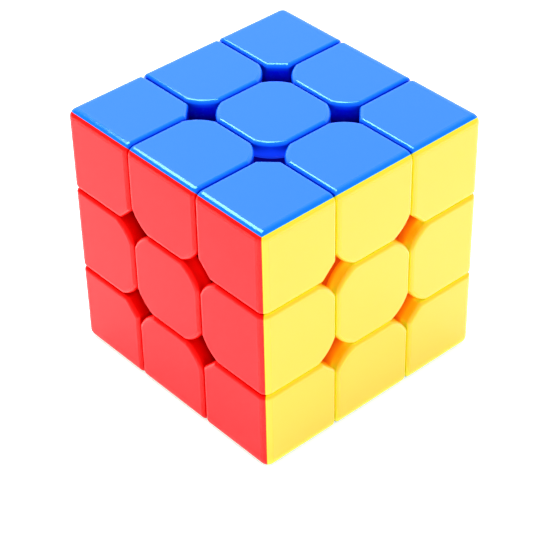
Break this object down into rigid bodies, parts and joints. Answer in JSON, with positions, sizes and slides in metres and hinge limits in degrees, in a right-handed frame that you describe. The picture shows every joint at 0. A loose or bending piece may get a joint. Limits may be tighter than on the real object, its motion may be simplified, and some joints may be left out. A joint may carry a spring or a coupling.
{
  "type": "twisty puzzle cube",
  "caption": "Stickerless twisty puzzle cube: coloured hollow shells hooked round a sprung core, every face layer turning freely, with diamond openings between the pads.",
  "frame": {"origin": "middle of the core, which is the middle of the cube", "axes": "+Z to the blue up face, -Y to the red front face, +X to the yellow right face"},
  "size_m": [0.056, 0.056, 0.056],
  "materials": {
    "blue_plastic": "smooth satin-gloss moulded plastic, coloured through",
    "green_plastic": "smooth satin-gloss moulded plastic, coloured through",
    "red_plastic": "smooth satin-gloss moulded plastic, coloured through",
    "orange_plastic": "smooth satin-gloss moulded plastic, coloured through",
    "yellow_plastic": "smooth satin-gloss moulded plastic, coloured through",
    "white_plastic": "smooth satin-gloss moulded plastic, coloured through",
    "core_plastic": "natural unpainted moulded plastic",
    "fastener_steel": "zinc-plated steel",
    "spring_steel": "drawn spring wire"
  },
  "bodies": {
    "core": {"core": "core_plastic", "centre_screws": "fastener_steel", "screw_washers": "fastener_steel", "centre_springs": "spring_steel"},
    "up_centre": {"centre_up_blue": "blue_plastic"},
    "down_centre": {"centre_down_green": "green_plastic"},
    "front_centre": {"centre_front_red": "red_plastic"},
    "back_centre": {"centre_back_orange": "orange_plastic"},
    "right_centre": {"centre_right_yellow": "yellow_plastic"},
    "left_centre": {"centre_left_white": "white_plastic"},
    "up_front_edge": {"edge_up_front_blue_shell": "blue_plastic", "edge_up_front_red_shell": "red_plastic"},
    "up_back_edge": {"edge_up_back_blue_shell": "blue_plastic", "edge_up_back_orange_shell": "orange_plastic"},
    "up_right_edge": {"edge_up_right_blue_shell": "blue_plastic", "edge_up_right_yellow_shell": "yellow_plastic"},
    "up_left_edge": {"edge_up_left_blue_shell": "blue_plastic", "edge_up_left_white_shell": "white_plastic"},
    "down_front_edge": {"edge_down_front_green_shell": "green_plastic", "edge_down_front_red_shell": "red_plastic"},
    "down_back_edge": {"edge_down_back_green_shell": "green_plastic", "edge_down_back_orange_shell": "orange_plastic"},
    "down_right_edge": {"edge_down_right_green_shell": "green_plastic", "edge_down_right_yellow_shell": "yellow_plastic"},
    "down_left_edge": {"edge_down_left_green_shell": "green_plastic", "edge_down_left_white_shell": "white_plastic"},
    "front_right_edge": {"edge_front_right_red_shell": "red_plastic", "edge_front_right_yellow_shell": "yellow_plastic"},
    "front_left_edge": {"edge_front_left_red_shell": "red_plastic", "edge_front_left_white_shell": "white_plastic"},
    "back_right_edge": {"edge_back_right_orange_shell": "orange_plastic", "edge_back_right_yellow_shell": "yellow_plastic"},
    "back_left_edge": {"edge_back_left_orange_shell": "orange_plastic", "edge_back_left_white_shell": "white_plastic"},
    "up_front_right_corner": {"corner_up_front_right_blue_shell": "blue_plastic", "corner_up_front_right_red_shell": "red_plastic", "corner_up_front_right_yellow_shell": "yellow_plastic"},
    "up_front_left_corner": {"corner_up_front_left_blue_shell": "blue_plastic", "corner_up_front_left_red_shell": "red_plastic", "corner_up_front_left_white_shell": "white_plastic"},
    "up_back_right_corner": {"corner_up_back_right_blue_shell": "blue_plastic", "corner_up_back_right_orange_shell": "orange_plastic", "corner_up_back_right_yellow_shell": "yellow_plastic"},
    "up_back_left_corner": {"corner_up_back_left_blue_shell": "blue_plastic", "corner_up_back_left_orange_shell": "orange_plastic", "corner_up_back_left_white_shell": "white_plastic"},
    "down_front_right_corner": {"corner_down_front_right_green_shell": "green_plastic", "corner_down_front_right_red_shell": "red_plastic", "corner_down_front_right_yellow_shell": "yellow_plastic"},
    "down_front_left_corner": {"corner_down_front_left_green_shell": "green_plastic", "corner_down_front_left_red_shell": "red_plastic", "corner_down_front_left_white_shell": "white_plastic"},
    "down_back_right_corner": {"corner_down_back_right_green_shell": "green_plastic", "corner_down_back_right_orange_shell": "orange_plastic", "corner_down_back_right_yellow_shell": "yellow_plastic"},
    "down_back_left_corner": {"corner_down_back_left_green_shell": "green_plastic", "corner_down_back_left_orange_shell": "orange_plastic", "corner_down_back_left_white_shell": "white_plastic"}
  },
  "joints": [
    {"name": "up_turn", "type": "hinge", "parent": "core", "child": "up_centre", "pos_m": [0, 0, 0], "axis": [0, 0, -1], "continuous": true},
    {"name": "down_turn", "type": "hinge", "parent": "core", "child": "down_centre", "pos_m": [0, 0, 0], "axis": [0, 0, -1], "continuous": true},
    {"name": "front_turn", "type": "hinge", "parent": "core", "child": "front_centre", "pos_m": [0, 0, 0], "axis": [0, 1, 0], "continuous": true},
    {"name": "back_turn", "type": "hinge", "parent": "core", "child": "back_centre", "pos_m": [0, 0, 0], "axis": [0, 1, 0], "continuous": true},
    {"name": "right_turn", "type": "hinge", "parent": "core", "child": "right_centre", "pos_m": [0, 0, 0], "axis": [-1, 0, 0], "continuous": true},
    {"name": "left_turn", "type": "hinge", "parent": "core", "child": "left_centre", "pos_m": [0, 0, 0], "axis": [-1, 0, 0], "continuous": true},
    {"name": "up_front_edge_turn_with_front", "type": "hinge", "parent": "up_centre", "child": "up_front_edge", "pos_m": [0, 0, 0], "axis": [0, 1, 0], "continuous": true},
    {"name": "up_back_edge_turn_with_back", "type": "hinge", "parent": "up_centre", "child": "up_back_edge", "pos_m": [0, 0, 0], "axis": [0, 1, 0], "continuous": true},
    {"name": "up_right_edge_turn_with_up", "type": "hinge", "parent": "right_centre", "child": "up_right_edge", "pos_m": [0, 0, 0], "axis": [0, 0, -1], "continuous": true},
    {"name": "up_left_edge_turn_with_up", "type": "hinge", "parent": "left_centre", "child": "up_left_edge", "pos_m": [0, 0, 0], "axis": [0, 0, -1], "continuous": true},
    {"name": "down_front_edge_turn_with_front", "type": "hinge", "parent": "down_centre", "child": "down_front_edge", "pos_m": [0, 0, 0], "axis": [0, 1, 0], "continuous": true},
    {"name": "down_back_edge_turn_with_back", "type": "hinge", "parent": "down_centre", "child": "down_back_edge", "pos_m": [0, 0, 0], "axis": [0, 1, 0], "continuous": true},
    {"name": "down_right_edge_turn_with_down", "type": "hinge", "parent": "right_centre", "child": "down_right_edge", "pos_m": [0, 0, 0], "axis": [0, 0, -1], "continuous": true},
    {"name": "down_left_edge_turn_with_down", "type": "hinge", "parent": "left_centre", "child": "down_left_edge", "pos_m": [0, 0, 0], "axis": [0, 0, -1], "continuous": true},
    {"name": "front_right_edge_turn_with_right", "type": "hinge", "parent": "front_centre", "child": "front_right_edge", "pos_m": [0, 0, 0], "axis": [-1, 0, 0], "continuous": true},
    {"name": "front_left_edge_turn_with_left", "type": "hinge", "parent": "front_centre", "child": "front_left_edge", "pos_m": [0, 0, 0], "axis": [-1, 0, 0], "continuous": true},
    {"name": "back_right_edge_turn_with_right", "type": "hinge", "parent": "back_centre", "child": "back_right_edge", "pos_m": [0, 0, 0], "axis": [-1, 0, 0], "continuous": true},
    {"name": "back_left_edge_turn_with_left", "type": "hinge", "parent": "back_centre", "child": "back_left_edge", "pos_m": [0, 0, 0], "axis": [-1, 0, 0], "continuous": true},
    {"name": "up_front_right_corner_turn_with_right", "type": "hinge", "parent": "up_front_edge", "child": "up_front_right_corner", "pos_m": [0, 0, 0], "axis": [-1, 0, 0], "continuous": true},
    {"name": "up_front_left_corner_turn_with_left", "type": "hinge", "parent": "up_front_edge", "child": "up_front_left_corner", "pos_m": [0, 0, 0], "axis": [-1, 0, 0], "continuous": true},
    {"name": "up_back_right_corner_turn_with_right", "type": "hinge", "parent": "up_back_edge", "child": "up_back_right_corner", "pos_m": [0, 0, 0], "axis": [-1, 0, 0], "continuous": true},
    {"name": "up_back_left_corner_turn_with_left", "type": "hinge", "parent": "up_back_edge", "child": "up_back_left_corner", "pos_m": [0, 0, 0], "axis": [-1, 0, 0], "continuous": true},
    {"name": "down_front_right_corner_turn_with_right", "type": "hinge", "parent": "down_front_edge", "child": "down_front_right_corner", "pos_m": [0, 0, 0], "axis": [-1, 0, 0], "continuous": true},
    {"name": "down_front_left_corner_turn_with_left", "type": "hinge", "parent": "down_front_edge", "child": "down_front_left_corner", "pos_m": [0, 0, 0], "axis": [-1, 0, 0], "continuous": true},
    {"name": "down_back_right_corner_turn_with_right", "type": "hinge", "parent": "down_back_edge", "child": "down_back_right_corner", "pos_m": [0, 0, 0], "axis": [-1, 0, 0], "continuous": true},
    {"name": "down_back_left_corner_turn_with_left", "type": "hinge", "parent": "down_back_edge", "child": "down_back_left_corner", "pos_m": [0, 0, 0], "axis": [-1, 0, 0], "continuous": true}
  ],
  "couplings": [
    {"joint": "up_front_edge_turn_with_front", "follows": "front_turn", "ratio": 1},
    {"joint": "up_back_edge_turn_with_back", "follows": "back_turn", "ratio": 1},
    {"joint": "up_right_edge_turn_with_up", "follows": "up_turn", "ratio": 1},
    {"joint": "up_left_edge_turn_with_up", "follows": "up_turn", "ratio": 1},
    {"joint": "down_front_edge_turn_with_front", "follows": "front_turn", "ratio": 1},
    {"joint": "down_back_edge_turn_with_back", "follows": "back_turn", "ratio": 1},
    {"joint": "down_right_edge_turn_with_down", "follows": "down_turn", "ratio": 1},
    {"joint": "down_left_edge_turn_with_down", "follows": "down_turn", "ratio": 1},
    {"joint": "front_right_edge_turn_with_right", "follows": "right_turn", "ratio": 1},
    {"joint": "front_left_edge_turn_with_left", "follows": "left_turn", "ratio": 1},
    {"joint": "back_right_edge_turn_with_right", "follows": "right_turn", "ratio": 1},
    {"joint": "back_left_edge_turn_with_left", "follows": "left_turn", "ratio": 1},
    {"joint": "up_front_right_corner_turn_with_right", "follows": "right_turn", "ratio": 1},
    {"joint": "up_front_left_corner_turn_with_left", "follows": "left_turn", "ratio": 1},
    {"joint": "up_back_right_corner_turn_with_right", "follows": "right_turn", "ratio": 1},
    {"joint": "up_back_left_corner_turn_with_left", "follows": "left_turn", "ratio": 1},
    {"joint": "down_front_right_corner_turn_with_right", "follows": "right_turn", "ratio": 1},
    {"joint": "down_front_left_corner_turn_with_left", "follows": "left_turn", "ratio": 1},
    {"joint": "down_back_right_corner_turn_with_right", "follows": "right_turn", "ratio": 1},
    {"joint": "down_back_left_corner_turn_with_left", "follows": "left_turn", "ratio": 1}
  ]
}
